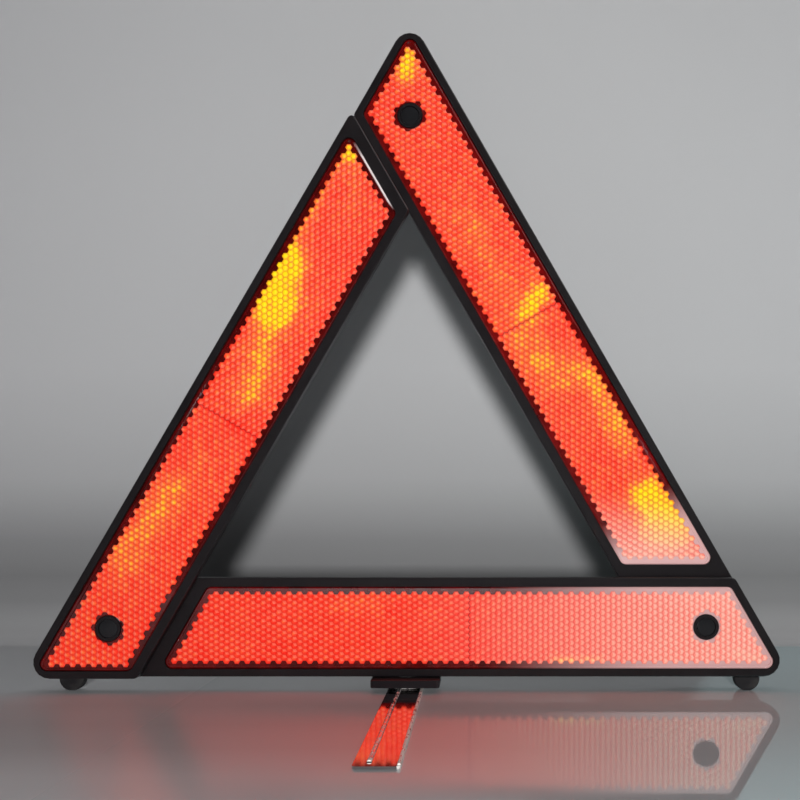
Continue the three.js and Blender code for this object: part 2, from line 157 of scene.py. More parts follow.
# Stage
STAGE_HALF = 3.0
FLOOR_FRONT = -2.4
WALL_DISTANCE = 0.25
WALL_BEND = 0.06
BEND_STEPS = 12
WALL_HEIGHT = 0.75
WALL_COLOR = (0.60, 0.60, 0.607)
WALL_TOP = 0.4
WALL_PAINTED_SHADING = [  # height over WALL_TOP, painted brightness
    (0.0, 1.3),
    (0.006, 0.95),
    (0.02, 0.75),
    (0.052, 0.57),
    (0.075, 0.45),
    (0.125, 0.37),
    (0.198, 0.46),
    (0.28, 0.66),
    (0.325, 0.755),
    (0.42, 0.84),
    (0.55, 0.93),
    (1.0, 0.98),
]
WALL_PAINTED_SIDE_LIGHT = [  # share of the way across, painted colour: lighter towards +X
    (0.0, (0.89, 0.89, 0.90)),
    (0.5, (0.96, 0.96, 0.96)),
    (1.0, (1.07, 1.07, 1.07)),
]
WALL_SPAN = (-0.45, 0.45)
FLOOR_COLOR = (0.80, 0.83, 0.85)
FLOOR_SPAN = (-0.4, 0.1)
FLOOR_PAINTED_SHADING = [  # share of the way along that span in y, painted brightness
    (0.0, 0.98),
    (0.4, 0.84),
    (0.5, 0.66),
    (0.6, 0.62),
    (0.7, 0.70),
    (0.74, 0.80),
    (0.8, 0.9),
]
FLOOR_PAINTED_LIGHT_RIGHT = (0.88, 0.88, 0.90)  # painted lighter towards +X
RIGHT_SPAN = (0, 0.16)  # x over which the floor takes that colour
MIRROR_SPAN = (-0.15, 0.12)  # x over which the mirror grows sharper
MIRROR_ROUGHNESS = (0.3, 0.035)
SHARE_SPAN = (-0.15, 0.15)  # x over which it grows stronger
MIRROR_SHARE = (0.09, 0.42)
MIRROR_TINTS = [  # share of the way along MIRROR_SPAN, colour
    (0.0, (1, 0.82, 0.82)),
    (0.5, (0.95, 0.92, 0.92)),
    (1.0, (0.68, 0.98, 1)),
]

# Light
STAGE_MIDDLE = (0, 0, 0.17)
KEY_PLACE = (0.059, -1.222, 0.136)  # y from the base arm's front
KEY_SIZE = (0.08, 0.08)
KEY_POWER = 15
GLINT = ((0.95, -0.55, 1.35), STAGE_MIDDLE, (0.9, 0.9), 10)  # place, target, size, power
TOP_SOFT = ((0.1, -0.35, 1.7), (0, -0.2, 0), (0.8, 0.8), 0.7)
BACK_SOFT = ((0.5, 1.6, 0.75), (0, 0, 0.2), (1.2, 0.8), 11)
AIR_COLOR = (1.0, 0.97, 0.96)
AIR_STRENGTH = 0.02


def joint(name):
    return next(j for j in frame["joints"] if j["name"] == name)


LEFT_PIVOT = Vector(joint("left_arm_fold")["pos_m"])
RIGHT_PIVOT = Vector(joint("right_arm_fold")["pos_m"])
LEAN = math.asin(-joint("left_arm_fold")["axis"][2])
SPACING = RIGHT_PIVOT.x - LEFT_PIVOT.x
BASE_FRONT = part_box("base_arm_housing")[0].y


def turn(angle, axis):
    return Matrix.Rotation(angle, 4, axis)


def shift(x, y, z):
    return Matrix.Translation((x, y, z))


# From an arm's own space to the row frame. In an arm's space x runs from its tail to its head,
# y is depth, and z points to the inside of the triangle.
ARM_PLACE = {
    "base": shift(RIGHT_PIVOT.x, BASE_FRONT, RIGHT_PIVOT.z),
    "left": shift(LEFT_PIVOT.x, BASE_FRONT - LAYER, LEFT_PIVOT.z)
    @ turn(-LEAN, "X")
    @ turn(THIRD_TURN, "Y"),
    "right": shift(RIGHT_PIVOT.x, BASE_FRONT + LAYER, RIGHT_PIVOT.z)
    @ turn(LEAN, "X")
    @ shift(-SPACING / 2, 0, SPACING * SIN60)
    @ turn(-THIRD_TURN, "Y"),
}
ARM_BODY = {"base": "base", "left": "left_arm", "right": "right_arm"}


# ---------------------------------------------------------------- materials


class Nodes:
    """A new material's node tree, with short ways to add and link nodes.

    noise takes its scale, detail and roughness. span takes a value, the two ends to read it between,
    and the two numbers that they turn into.
    """

    def __init__(self, name):
        self.material = bpy.data.materials.new(name)
        self.material.use_nodes = True
        self.tree = self.material.node_tree
        self.shader = self.tree.nodes["Principled BSDF"]

    def add(self, kind, **values):
        node = self.tree.nodes.new(kind)
        for name, value in values.items():
            setattr(node, name, value)
        return node

    def link(self, output, socket):
        self.tree.links.new(output, socket)

    def feed(self, socket, value):
        if isinstance(value, bpy.types.NodeSocket):
            self.link(value, socket)
        else:
            socket.default_value = value

    def set(self, **values):
        for name, value in values.items():
            self.shader.inputs[name.replace("_", " ")].default_value = value

    def paint(self, color):
        self.link(color, self.shader.inputs["Base Color"])

    def roughen(self, value):
        self.link(value, self.shader.inputs["Roughness"])

    def place(self):
        return self.add("ShaderNodeTexCoord").outputs["Object"]

    def place_parts(self):
        parts = self.add("ShaderNodeSeparateXYZ")
        self.link(self.place(), parts.inputs["Vector"])
        return parts.outputs["X"], parts.outputs["Y"], parts.outputs["Z"]

    def stretched(self, scale):
        mapping = self.add("ShaderNodeMapping")
        mapping.inputs["Scale"].default_value = scale
        self.link(self.place(), mapping.inputs["Vector"])
        return mapping.outputs["Vector"]

    def noise(self, scale, detail=3.0, roughness=0.5, vector=None):
        node = self.add("ShaderNodeTexNoise")
        self.link(vector or self.place(), node.inputs["Vector"])
        node.inputs["Scale"].default_value = scale
        node.inputs["Detail"].default_value = detail
        node.inputs["Roughness"].default_value = roughness
        return node.outputs["Fac"]

    def attribute(self, name):
        return self.add("ShaderNodeAttribute", attribute_name=name).outputs["Fac"]

    def span(self, value, low, high, to_low=0.0, to_high=1.0):
        node = self.add("ShaderNodeMapRange")
        self.feed(node.inputs["Value"], value)
        ends = {"From Min": low, "From Max": high, "To Min": to_low, "To Max": to_high}
        for name, number in ends.items():
            node.inputs[name].default_value = number
        return node.outputs["Result"]

    def ramp(self, value, stops):
        node = self.add("ShaderNodeValToRGB")
        self.feed(node.inputs["Fac"], value)
        elements = node.color_ramp.elements
        while len(elements) < len(stops):
            elements.new(1.0)
        for element, (position, color) in zip(elements, stops):
            element.position = position
            element.color = (*color, 1)
        return node.outputs["Color"]

    def mix(self, factor, first, second, blend="MIX"):
        node = self.add("ShaderNodeMix", data_type="RGBA", blend_type=blend)
        self.feed(node.inputs["Factor"], factor)
        color_inputs = [s for s in node.inputs if s.type == "RGBA"]
        for socket, value in zip(color_inputs, (first, second)):
            self.feed(socket, value if isinstance(value, bpy.types.NodeSocket) else (*value, 1))
        return next(s for s in node.outputs if s.type == "RGBA")

    def math(self, operation, first, second=0.0):
        node = self.add("ShaderNodeMath", operation=operation)
        self.feed(node.inputs[0], first)
        self.feed(node.inputs[1], second)
        return node.outputs[0]

    def bump(self, height, distance, strength=1.0):
        node = self.add("ShaderNodeBump")
        node.inputs["Strength"].default_value = strength
        node.inputs["Distance"].default_value = distance
        self.link(height, node.inputs["Height"])
        self.link(node.outputs["Normal"], self.shader.inputs["Normal"])
        return node


def black_plastic(name, grain, roughness, tint):
    """Moulded black plastic with a spark-eroded grain, faint flow marks and scuffs."""
    n = Nodes(name)
    flow = n.noise(35, 4, 0.6)
    scratches = n.noise(140, 5, 0.7, n.stretched((1, 1, 9)))
    flowed = n.mix(n.span(flow, 0.35, 0.7), tint, tuple(c * 1.5 for c in tint))
    scuffs = n.span(scratches, 0.62, 0.78, 0, 0.55)
    n.paint(n.mix(scuffs, flowed, BLACK_SCUFFED))
    n.roughen(n.span(flow, 0.3, 0.7, roughness - 0.06, roughness + 0.07))
    n.bump(n.noise(grain, 2), 0.05 * MM, 0.5)
    return n.material


def steel(name, color, roughness):
    """Plated or bare sheet steel with a fine grain and cloudy handling marks."""
    n = Nodes(name)
    n.set(Metallic=1.0)
    cloud = n.noise(60, 3)
    n.paint(n.mix(n.span(cloud, 0.4, 0.75), color, tuple(c * 0.82 for c in color)))
    n.roughen(n.span(cloud, 0.3, 0.8, roughness, roughness + 0.08))
    n.bump(n.noise(300, 4, 0.6), 0.03 * MM, 0.25)
    return n.material


def wear_and_highlight_share(n):
    """Where the strip is painted pale and rough, as wear and as a painted highlight: its sheared edge, its bead in
    patches, and the bead's whole end.
    """
    x, y, z = n.place_parts()
    blobs = n.noise(420, 3, 0.6, n.stretched((1, 0.35, 1)))
    past_edge = n.span(x, LEG_EDGE - 0.2 * MM, LEG_EDGE)
    before_edge = n.span(x, LEG_EDGE, LEG_EDGE - 1 * MM)
    edge = n.math("MULTIPLY", past_edge, n.span(blobs, 0.34, 0.5))
    on_bead = n.math("MULTIPLY", n.span(z, BEAD_FOOT, BEAD_FOOT + 0.2 * MM), before_edge)
    bead = n.math("MULTIPLY", on_bead, n.span(blobs, 0.42, 0.6, 0.1, 0.75))
    tip = n.math("MULTIPLY", on_bead, n.span(y, BEAD_TIP + 1 * MM, BEAD_TIP))
    return n.math("MAXIMUM", n.math("MAXIMUM", edge, bead), tip)


def leg_steel(name):
    """Strip with a rough sheared edge on one side and a bead, both painted pale as wear and as a highlight, and a
    slight bow in its shading.
    """
    n = Nodes(name)
    wear_and_highlight = wear_and_highlight_share(n)
    cloud = n.noise(60, 3)
    bright = n.mix(n.span(cloud, 0.4, 0.75), STRIP_PINK_TINTED, STRIP_CLOUDED)
    n.paint(n.mix(wear_and_highlight, bright, STRIP_WEAR_AND_HIGHLIGHT))
    n.link(n.span(wear_and_highlight, 0, 1, 1, 0.15), n.shader.inputs["Metallic"])
    polish = n.span(cloud, 0.3, 0.8, 0.05, 0.1)
    n.roughen(n.math("MAXIMUM", polish, n.span(wear_and_highlight, 0, 1, 0, 0.5)))
    _, y, _ = n.place_parts()
    bow = n.bump(y, LEG_BOW)
    grain = n.bump(n.noise(300, 4, 0.6, n.stretched((1, 0.05, 1))), 0.012 * MM, 0.25)
    n.link(bow.outputs["Normal"], grain.inputs["Normal"])
    return n.material


def nylon(name):
    """Natural nylon, a little cloudy, with a fine grain."""
    n = Nodes(name)
    cloud = n.noise(200, 3)
    n.paint(n.mix(n.span(cloud, 0.3, 0.7), NYLON_DARK, NYLON_LIGHT))
    n.roughen(n.span(cloud, 0.3, 0.7, 0.42, 0.55))
    n.bump(n.noise(1500, 2), 0.03 * MM, 0.4)
    return n.material


def rubber(name):
    """Black rubber that holds dust in patches."""
    n = Nodes(name)
    dust = n.noise(90, 5, 0.65)
    n.paint(n.mix(n.span(dust, 0.5, 0.8), RUBBER_CLEAN, RUBBER_DUSTY))
    n.roughen(n.span(dust, 0.3, 0.8, 0.6, 0.85))
    n.bump(n.noise(1800, 3), 0.06 * MM, 0.6)
    return n.material


def prism_material(name):
    """Red prism cells. Painted hot spots turn them orange and yellow, painted glare pales them, their tops are
    painted lighter as highlights, their facets are painted lit and shaded, and their grooves are painted a deeper
    red as shade.
    """
    n = Nodes(name)
    crown, facet, painted_glare, cell = (n.attribute(kind) for kind in ("crown", "facet", "painted_glare", "cell"))
    # Painted hot spots, read from a mesh attribute, plus random tone.
    tone_and_hot_spots = n.math("ADD", n.attribute("tone_and_hot_spots"), n.span(n.noise(55, 4, 0.6), 0.25, 0.75, -0.12, 0.12))
    tone_and_highlights = n.math("ADD", tone_and_hot_spots, n.span(cell, 0, 1, -0.10, 0.12))
    # Cell tops painted lighter, a painted highlight.
    tone_and_highlights = n.math("ADD", tone_and_highlights, n.span(crown, 0.5, 1, -0.08, 0.16))
    # Painted glare pales the prisms.
    with_glare = n.mix(painted_glare, n.ramp(tone_and_highlights, PRISM_RED_TO_HOT_SPOT), PRISM_GLARE)
    calm = n.span(tone_and_hot_spots, 0.45, 0.95, 1, 0.2)  # facets differ less where hot spots are painted
    lit = n.mix(n.math("MULTIPLY", calm, n.span(facet, 0, 0.5, 0.28, 0)), with_glare, PRISM_LIT)
    shaded = n.mix(n.math("MULTIPLY", calm, n.span(facet, 0.5, 1, 0, 0.4)), lit, PRISM_SHADED)
    # Grooves painted a deeper red, a painted shade; painted glare lifts it.
    clear_of_groove_shade = n.math("MAXIMUM", n.span(crown, 0, 0.7, 0.5, 1), n.span(painted_glare, 0, 1, 0, 0.75))
    n.paint(n.mix(clear_of_groove_shade, PRISM_GROOVE_SHADE, shaded))
    n.roughen(n.span(cell, 0, 1, 0.25, 0.45))
    n.set(Specular_IOR_Level=0.25, Coat_Weight=0.3, Coat_Roughness=0.12, Coat_IOR=1.45)
    return n.material


def rim_material(name):
    """Clear red plastic with nothing lit behind it: dark red, with painted red light from the prisms, painted
    glare that pales it, and a painted glint on one chamfer.
    """
    n = Nodes(name)
    cloud = n.noise(120, 4, 0.6)
    dark = n.mix(n.span(cloud, 0.35, 0.7), *RIM_DARK)
    # Painted red light from the prisms, coming through the rim.
    painted_red_light = n.mix(n.span(cloud, 0.3, 0.65), *RIM_RED_LIGHT_TONES)
    red = n.mix(n.attribute("painted_red_light"), dark, painted_red_light)
    # Painted glare pales the rim.
    rim_with_glare = n.mix(n.attribute("painted_glare"), red, RIM_GLARE)
    # A painted glint on one chamfer.
    n.paint(n.mix(n.attribute("glint"), rim_with_glare, RIM_PAINTED_GLINT))
    n.roughen(n.span(cloud, 0.3, 0.7, 0.12, 0.2))
    n.set(Coat_Weight=1.0, Coat_Roughness=0.04, Coat_IOR=1.49)
    return n.material


# ---------------------------------------------------------------- reflectors


def head_line(z):
    return CORNER - (z + HALF) / ROOT3


def tail_line(z):
    return CORNER - SIDE + ARM_WIDTH / SIN60 + (z + HALF) / ROOT3


def panel_corners(inset):
    """The reflector's corners in the arm's x and z, moved in from its edge."""
    low = BORDER_OUTER - HALF + inset
    high = HALF - BORDER_INNER - inset
    from_head = (BORDER_HEAD + inset * END_RIM) / SIN60
    from_tail = (BORDER_TAIL + inset * END_RIM) / SIN60
    heads = [(head_line(z) - from_head, z) for z in (low, high)]
    tails = [(tail_line(z) + from_tail, z) for z in (high, low)]
    return [tails[1], *heads, tails[0]]


def rounded(corners, radius):
    """Points round a polygon with its corners rounded, anticlockwise."""
    points = []
    for i, corner in enumerate(corners):
        here = Vector(corner)
        before = (Vector(corners[i - 1]) - here).normalized()
        after = (Vector(corners[(i + 1) % len(corners)]) - here).normalized()
        half = before.angle(after) / 2
        centre = here + (before + after).normalized() * radius / math.sin(half)
        start = here + before * radius / math.tan(half) - centre
        sweep = math.pi - 2 * half
        first = math.atan2(start.y, start.x)
        for k in range(CORNER_STEPS + 1):
            angle = first + sweep * k / CORNER_STEPS
            points.append(centre + radius * Vector((math.cos(angle), math.sin(angle))))
    return points


def with_steps(points, counts):
    """The same outline with each of its runs divided into a number of steps."""
    stepped = []
    for point, following, count in zip(points, points[1:] + points[:1], counts):
        stepped += [point.lerp(following, k / count) for k in range(count)]
    return stepped


def step_counts(points, longest):
    runs = zip(points, points[1:] + points[:1])
    return [max(1, math.ceil((following - point).length / longest)) for point, following in runs]


def inside(point, corners, margin):
    """True if a point is inside a convex anticlockwise polygon by the margin."""
    for i, corner in enumerate(corners):
        a = Vector(corners[i - 1])
        edge = (Vector(corner) - a).normalized()
        to_point = point - a
        if edge.x * to_point.y - edge.y * to_point.x < margin:
            return False
    return True


# Painted hot spots, where each arm's prisms are painted orange and yellow as if lit: from one point (x, z) to
# another in mm, radius in mm, strength.
PAINTED_HOT_SPOTS = {
    "left": [
        ((-234, -19), (-208, -12), 9, 0.95),
        ((-236, -12), (-205, 0), 9, 0.3),
        ((-208, -12), (-158, 3), 11, 0.45),
        ((-308, -19), (-305, -16), 4, 0.8),
        ((-300, -22), (-246, -21), 6, 0.4),
        ((-296, -8), (-284, -4), 8, 0.22),
        ((-85, -8), (-40, -14), 12, 0.42),
        ((-120, -4), (-100, 6), 12, 0.12),
    ],
    "right": [
        ((-264, -11), (-288, -13), 13, 0.82),
        ((-183, -17), (-225, -15), 10, 0.4),
        ((-127, -14), (-135, -2), 7, 0.6),
        ((-146, 8), (-175, 2), 13, 0.33),
        ((31, -17), (22, -9), 6, 0.6),
        ((-70, 2), (-118, 0), 12, 0.2),
        ((-284, 4), (-292, 8), 10, 0.4),
    ],
    "base": [
        ((18, -15), (30, -20), 5, 0.5),
        ((-88, -19), (-62, -19), 3, 0.55),
        ((-215, 12), (-190, 14), 6, 0.2),
    ],
}
# Each arm's tone on the red-to-yellow ramp, under its painted hot spots.
BASE_TONE = {"left": 0.27, "right": 0.33, "base": 0.2}


def tone_and_hot_spots_at(arm, x, z):
    here = Vector((x, z)) / MM
    total = BASE_TONE[arm]
    for start, end, radius, strength in PAINTED_HOT_SPOTS[arm]:
        start, end = Vector(start), Vector(end)
        along = (here - start).dot(end - start) / (end - start).length_squared
        nearest = start.lerp(end, min(max(along, 0), 1))
        total += strength * math.exp(-((here - nearest).length_squared) / radius**2)
    return min(total, 1.0)


RIM_RED_LIGHT = {"left": 0.1, "right": 0.4, "base": 0.15}  # how much painted red light from the prisms reaches the rim


def eased(value, start, end):
    """0 at start and 1 at end, smooth between them."""
    t = min(max((value - start) / (end - start), 0), 1)
    return t * t * (3 - 2 * t)


# Painted glare, where an arm's red pales along it: x in mm where that starts and ends, how pale, slant of the
# front
PRISM_GLARE_SPANS = {"base": (-190, 25, 0.9, 0), "right": (-252, -304, 0.95, 0.8)}
RIM_GLARE_SPANS = {"base": (-130, -20, 0.8, 0), "right": (-262, -290, 0.9, 0)}
UPPER_GLARE = 0.12  # more painted glare for the base panel's upper right edge
UPPER_GLARE_Z = (5, 25)
UPPER_GLARE_X = (-60, 0)


def painted_glare_at(fades, arm, x, z):
    if arm not in fades:
        return 0.0
    start, end, most, slant = fades[arm]
    return most * eased((x - slant * z) / MM, start, end)


def prism_painted_glare(arm, x, z):
    painted_glare = painted_glare_at(PRISM_GLARE_SPANS, arm, x, z)
    if arm == "base":
        painted_glare += UPPER_GLARE * eased(z / MM, *UPPER_GLARE_Z) * eased(x / MM, *UPPER_GLARE_X)
    return painted_glare


# A painted glint on one arm's rim chamfer:
GLINT_ARM = "left"
GLINT_STARTS = (-16, -10)  # z in mm over which the glint comes up
GLINT_ENDS = (20, 15)
GLINT_SLACK = 0.1 * MM
GLINT_WIDTH = RIM_BEVEL * 1.3


def painted_rim_glint(arm, point):
    """A painted glint on the chamfer at the panel's slanted upper end."""
    on_chamfer = PANEL_FRONT - GLINT_SLACK < point.y < PANEL_FRONT + RIM_DROP + GLINT_SLACK
    from_end = point.x - tail_line(point.z) - BORDER_TAIL / SIN60
    if arm != GLINT_ARM or not on_chamfer or from_end > GLINT_WIDTH:
        return 0.0
    return eased(point.z / MM, *GLINT_STARTS) * eased(point.z / MM, *GLINT_ENDS)


def new_object(name, mesh, material, place):
    mesh.materials.append(material)
    made = bpy.data.objects.new(name, mesh)
    bpy.context.scene.collection.objects.link(made)
    mesh.transform(place)
    return made


def add_values(mesh, name, values, domain="POINT"):
    mesh.attributes.new(name, "FLOAT", domain).data.foreach_set("value", values)


def circle(radius):
    angles = (2 * math.pi * k / BOSS_STEPS for k in range(BOSS_STEPS))
    return [radius * Vector((math.cos(a), math.sin(a))) for a in angles]


def add_loop(bm, points, depth):
    return [bm.verts.new((p.x, depth, p.y)) for p in points]


def skin(bm, loops):
    """Walls between each loop of vertices and the next."""
    for first, second in zip(loops, loops[1:]):
        for i in range(len(first)):
            j = (i + 1) % len(first)
            bm.faces.new((first[i], first[j], second[j], second[i]))


def fill(bm, *rings):
    """Triangles between an outer ring and a hole."""
    edges = [bm.edges.get((ring[i - 1], ring[i])) for ring in rings for i in range(len(ring))]
    bmesh.ops.triangle_fill(bm, use_beauty=True, edges=edges)


def rim_loops(bm):
    """Loops round the panel, from its back over its raised rim down to the floor behind the prisms."""
    counts = step_counts(rounded(panel_corners(0), PANEL_RADIUS), OUTLINE_STEP)
    profile = [(0.0, PANEL_BACK), (0.0, PANEL_FRONT + RIM_DROP), (RIM_BEVEL, PANEL_FRONT)]
    profile += [(RIM_WIDTH, PANEL_FRONT), (RIM_WIDTH, FIELD_DEPTH)]
    loops = []
    for inset, depth in profile:
        outline = rounded(panel_corners(inset), max(PANEL_RADIUS - inset, LEAST_RADIUS))
        loops.append(add_loop(bm, with_steps(outline, counts), depth))
    return loops


def boss_loops(bm):
    """Loops of the ring round the boss, from the panel's back over its front to the same floor."""
    edge = PANEL_FRONT + BOSS_BEVEL
    profile = [(0.0, PANEL_BACK), (0.0, edge), (BOSS_BEVEL, PANEL_FRONT)]
    profile += [(BOSS_RIM - BOSS_BEVEL, PANEL_FRONT), (BOSS_RIM, edge), (BOSS_RIM, FIELD_DEPTH)]
    return [add_loop(bm, circle(BOSS_HOLE + out), depth) for out, depth in profile]


def rim_plate(arm):
    """The panel's body: a plate with a raised smooth rim and a raised ring round the boss hole."""
    bm = bmesh.new()
    outer = rim_loops(bm)
    hole = boss_loops(bm)
    skin(bm, outer)
    skin(bm, hole)
    fill(bm, outer[-1], hole[-1])
    fill(bm, outer[0], hole[0])
    bmesh.ops.recalc_face_normals(bm, faces=bm.faces)
    mesh = bpy.data.meshes.new(arm + "_reflector_rim")
    bm.to_mesh(mesh)
    bm.free()
    points = [v.co for v in mesh.vertices]
    # Painted glare on the rim.
    add_values(mesh, "painted_glare", [painted_glare_at(RIM_GLARE_SPANS, arm, p.x, p.z) for p in points])
    add_values(mesh, "painted_red_light", [RIM_RED_LIGHT[arm]] * len(points))
    add_values(mesh, "glint", [painted_rim_glint(arm, p) for p in points])
    return mesh


def seam_middle():
    (tail, _), (head, _) = panel_corners(0)[:2]
    return (tail + head) / 2


def cell_centres():
    """Hexagonal cells on both sides of the seam, whole ones only, and the side each is on."""
    column = CELL_PITCH * SIN60
    in_field = CELL_PITCH / 2 * EDGE_CLEARANCE
    from_boss = BOSS_EDGE + CELL_PITCH / 2 * BOSS_CLEARANCE
    field = panel_corners(RIM_WIDTH)
    middle = seam_middle()
    z_middle = (BORDER_OUTER - BORDER_INNER) / 2
    for side in (-1, 1):
        for i in range(CELL_COLUMNS):
            x = middle + side * (SEAM_GAP / 2 + (i + 0.5) * column)
            stagger = 0.5 if (i % 2) == (side > 0) else 0.0
            for j in range(-CELL_ROWS, CELL_ROWS + 1):
                point = Vector((x, z_middle + (j + stagger) * CELL_PITCH))
                if inside(point, field, in_field) and point.length > from_boss:
                    yield point, side


class PrismCells:
    """A closed sheet of crowned hexagonal cells, with six facets each."""

    def __init__(self, seed):
        self.pick = random.Random(seed)
        self.verts, self.crowns = [], []
        self.faces, self.cells, self.facets = [], [], []
        self.shared = {}
        self.open_edges = {}

    def vertex(self, x, depth, z, crown):
        away = math.hypot(x, z)
        if away < BOSS_EDGE:  # cells end at the ring round the boss
            x, z = x * BOSS_EDGE / away, z * BOSS_EDGE / away
        self.verts.append((x, depth, z))
        self.crowns.append(crown)
        return len(self.verts) - 1

    def face(self, value, facet, *indices):
        self.faces.append(indices)
        self.cells.append(value)
        self.facets.append(facet)

    def corner_pair(self, x, z):
        """A corner's vertices in the groove and at the foot, shared with the cells beside it."""
        key = (round(x / SAME_CORNER), round(z / SAME_CORNER))
        for dx in (-1, 0, 1):
            for dz in (-1, 0, 1):
                if (key[0] + dx, key[1] + dz) in self.shared:
                    return self.shared[(key[0] + dx, key[1] + dz)]
        self.shared[key] = (self.vertex(x, CELL_GROOVE, z, 0.0), self.vertex(x, CELL_FOOT, z, 0.0))
        return self.shared[key]

    def add_cell(self, centre, side):
        value = self.pick.random()
        tilt = Vector((self.pick.uniform(-1, 1), self.pick.uniform(-1, 1))) * CELL_TILT
        depth = CELL_TOP + self.pick.uniform(0, CELL_UNEVEN)
        top = self.vertex(centre.x + tilt.x, depth, centre.y + tilt.y, 1.0)
        inner, corners = [], []
        for k in range(6):
            angle = math.pi / 3 * k
            spoke = Vector((math.cos(angle), math.sin(angle))) * CELL_CORNER
            ring = centre + tilt * CROWN_LEAN + spoke * CROWN_SIZE
            inner.append(self.vertex(ring.x, CELL_TOP + CROWN_DROPS[k % 2], ring.y, CROWN_EDGE))
            corners.append(self.corner_pair(centre.x + spoke.x, centre.y + spoke.y))
        for k in range(6):
            m = (k + 1) % 6
            facet = (k // 2 + (side > 0)) % 3 / 2
            (outer_k, foot_k), (outer_m, foot_m) = corners[k], corners[m]
            self.face(value, facet, top, inner[m], inner[k])
            self.face(value, facet, inner[k], inner[m], outer_m, outer_k)
            self.note_edge(value, outer_k, outer_m, foot_m, foot_k)
        self.face(value, 0, *(foot for _, foot in corners))

    def note_edge(self, value, first, second, second_foot, first_foot):
        """Keep the edges that only one cell has."""
        edge = (min(first, second), max(first, second))
        if edge in self.open_edges:
            del self.open_edges[edge]
        else:
            self.open_edges[edge] = (value, first, second, second_foot, first_foot)

    def close_sides(self):
        for value, *corners in self.open_edges.values():
            self.face(value, 0, *corners)


def prism_sheet(arm, seed):
    built = PrismCells(seed)
    for centre, side in cell_centres():
        built.add_cell(centre, side)
    built.close_sides()
    mesh = bpy.data.meshes.new(arm + "_prism_sheet")
    mesh.from_pydata(built.verts, [], built.faces)
    bm = bmesh.new()
    bm.from_mesh(mesh)
    bmesh.ops.recalc_face_normals(bm, faces=bm.faces)
    bm.to_mesh(mesh)
    bm.free()
    add_values(mesh, "crown", built.crowns)
    add_values(mesh, "cell", built.cells, "FACE")
    add_values(mesh, "facet", built.facets, "FACE")
    seam = seam_middle()
    dull = [SEAM_DULLING * max(0, 1 - abs(x - seam) / SEAM_REACH) for x, _, _ in built.verts]
    # Each arm's tone and painted hot spots, a little less near the seam.
    tones_and_hot_spots = [tone_and_hot_spots_at(arm, x, z) for x, _, z in built.verts]
    add_values(mesh, "tone_and_hot_spots", [tone_and_hot_spots - less for tone_and_hot_spots, less in zip(tones_and_hot_spots, dull)])
    add_values(mesh, "painted_glare", [prism_painted_glare(arm, x, z) for x, _, z in built.verts])
    return mesh


def build_reflectors():
    prisms = prism_material("red_prism_cells")
    rims = rim_material("red_clear_rim")
    for seed, arm in enumerate(("base", "left", "right")):
        place = ARM_PLACE[arm]
        rim = new_object(arm + "_reflector_rim", rim_plate(arm), rims, place)
        sheet = new_object(arm + "_prism_sheet", prism_sheet(arm, seed + 1), prisms, place)
        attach(rim, ARM_BODY[arm])
        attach(sheet, ARM_BODY[arm])
        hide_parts(arm + "_arm_reflector")


# ---------------------------------------------------------------- CAD nodes


def paint_cad_nodes():
    """Every node that the frame carries gets its slot's finish. The reflectors are replaced instead."""
    finishes = {
        "black_plastic": black_plastic("black_moulded", grain=2600, roughness=0.42, tint=BLACK_MOULDED),
        "black_cap": black_plastic("black_cap", grain=1200, roughness=0.3, tint=BLACK_CAP),
        "polished_steel": steel("plated_rivet", STEEL_PLATED, roughness=0.18),
        "spring_steel": steel("spring_steel", STEEL_SPRING, roughness=0.3),
        "nylon": nylon("natural_nylon"),
        "rubber": rubber("foot_rubber"),
    }
    special = {
        "stand_bracket": black_plastic("black_bracket", grain=2000, roughness=0.5, tint=BLACK_BRACKET),
        "leg_strip": leg_steel("bright_strip"),
    }
    for part in frame["record"]["subparts"]:
        name = part["node"]
        material = special.get(name) or finishes.get(part["material_slot"])
        if material:
            node = frame["nodes"][name]
            node.data.materials.clear()
            node.data.materials.append(material)


# ---------------------------------------------------------------- stage


def clouded(n, color):
    """Paint with a faint cloudiness."""
    return n.mix(n.span(n.noise(3, 2), 0.3, 0.7), color, tuple(c * 0.97 for c in color))


def greys(n, value, stops):
    return n.ramp(value, [(at, (grey, grey, grey)) for at, grey in stops])


def one_sided(n, surface):
    """Show a surface from its front, and let light and view through it from behind."""
    clear = n.add("ShaderNodeBsdfTransparent")
    facing = n.add("ShaderNodeMixShader")
    n.link(n.add("ShaderNodeNewGeometry").outputs["Backfacing"], facing.inputs["Fac"])
    n.link(surface, facing.inputs[1])
    n.link(clear.outputs["BSDF"], facing.inputs[2])
    n.link(facing.outputs["Shader"], n.tree.nodes["Material Output"].inputs["Surface"])
    n.tree.nodes.remove(n.shader)
    return n.material


def wall_material():
    """Matt backdrop with painted shading: darkest just above its foot, lighter towards +X."""
    n = Nodes("grey_wall")
    x, _, z = n.place_parts()
    # Painted shading, darkest just above the foot.
    shaded_tone = n.mix(1.0, clouded(n, WALL_COLOR), greys(n, n.span(z, 0, WALL_TOP), WALL_PAINTED_SHADING), "MULTIPLY")
    painted_side_light = n.ramp(n.span(x, *WALL_SPAN), WALL_PAINTED_SIDE_LIGHT)
    diffuse = n.add("ShaderNodeBsdfDiffuse")
    n.link(n.mix(1.0, shaded_tone, painted_side_light, "MULTIPLY"), diffuse.inputs["Color"])
    return one_sided(n, diffuse.outputs["BSDF"])


